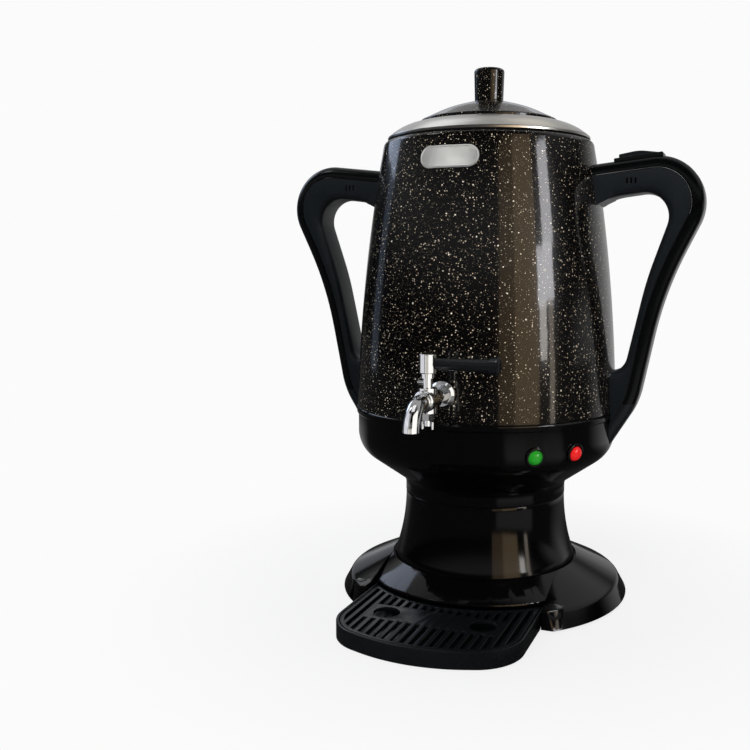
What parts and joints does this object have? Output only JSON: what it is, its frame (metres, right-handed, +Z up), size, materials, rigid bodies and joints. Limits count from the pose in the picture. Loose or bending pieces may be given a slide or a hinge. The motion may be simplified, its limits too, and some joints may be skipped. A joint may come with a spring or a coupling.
{
  "type": "electric samovar",
  "caption": "Electric samovar: a tapered tank on a pedestal foot, with a lever tap over a slide-out drip tray, side handles, a teapot ring and a lift-off lid.",
  "frame": {"origin": "on the table, under the tank's axis", "axes": "+Z up along the tank's axis, -Y to the tap and the tray, +X to the handle with the switch"},
  "size_m": [0.3164, 0.273, 0.3928],
  "materials": {
    "granite_paint": "gloss",
    "black_gloss": "gloss",
    "black_satin": "satin",
    "tray_black": "satin",
    "ring_steel": "brushed",
    "tank_steel": "satin",
    "plate_aluminium": "satin",
    "tap_chrome": "polished",
    "nut_brass": "satin",
    "seal_rubber": "matte",
    "lens_green": "gloss",
    "lens_red": "gloss",
    "insulator": "matte"
  },
  "bodies": {
    "base": {"body_shell": "granite_paint", "tank_floor": "tank_steel", "heat_plate": "plate_aluminium", "heating_element": "tank_steel", "thermostat": "insulator", "thermal_cutout": "insulator", "seat_ring": "black_gloss", "collar": "black_gloss", "pedestal": "black_gloss", "foot": "black_gloss", "base_plate": "black_satin", "foot_ring": "seal_rubber", "base_screws": "tank_steel", "tie_bolts": "tank_steel", "terminal_block": "insulator", "cord_gland": "seal_rubber", "green_lens": "lens_green", "red_lens": "lens_red", "lamp_bezels": "black_gloss", "lamp_holders": "insulator", "left_handle": "black_satin", "right_handle": "black_satin", "left_strip": "black_gloss", "right_strip": "black_gloss", "handle_tabs": "tank_steel", "handle_screws": "tank_steel", "switch_frame": "black_gloss", "switch_body": "insulator", "tap_body": "tap_chrome", "tap_rosette": "tap_chrome", "tap_gaskets": "seal_rubber", "tap_nut": "nut_brass"},
    "ring": {"teapot_ring": "ring_steel", "ring_seal": "seal_rubber"},
    "lid": {"lid_dome": "granite_paint", "lid_knob": "granite_paint", "lid_screw": "tap_chrome"},
    "key": {"tap_key": "tap_chrome", "tap_lever": "black_satin", "key_nut": "tap_chrome", "key_pin": "tap_chrome"},
    "tray": {"drip_tray": "tray_black"},
    "grille": {"drip_grille": "tray_black"},
    "rocker": {"switch_rocker": "black_satin"}
  },
  "joints": [
    {"name": "ring_lift", "type": "slide", "parent": "base", "child": "ring", "axis": [0, 0, 1], "range_m": [0, 0.06]},
    {"name": "lid_lift", "type": "slide", "parent": "ring", "child": "lid", "axis": [0, 0, 1], "range_m": [0, 0.08]},
    {"name": "key_turn", "type": "hinge", "parent": "base", "child": "key", "pos_m": [0, -0.12719, 0.163], "axis": [0, 0, 1], "range_deg": [-90, 0]},
    {"name": "tray_slide", "type": "slide", "parent": "base", "child": "tray", "axis": [0, -1, 0], "range_m": [0, 0.09]},
    {"name": "grille_lift", "type": "slide", "parent": "tray", "child": "grille", "axis": [0, 0, 1], "range_m": [0, 0.04]},
    {"name": "switch_tilt", "type": "hinge", "parent": "base", "child": "rocker", "pos_m": [0.11211, 0, 0.32292], "axis": [0, 1, 0], "range_deg": [-10, 0]}
  ]
}
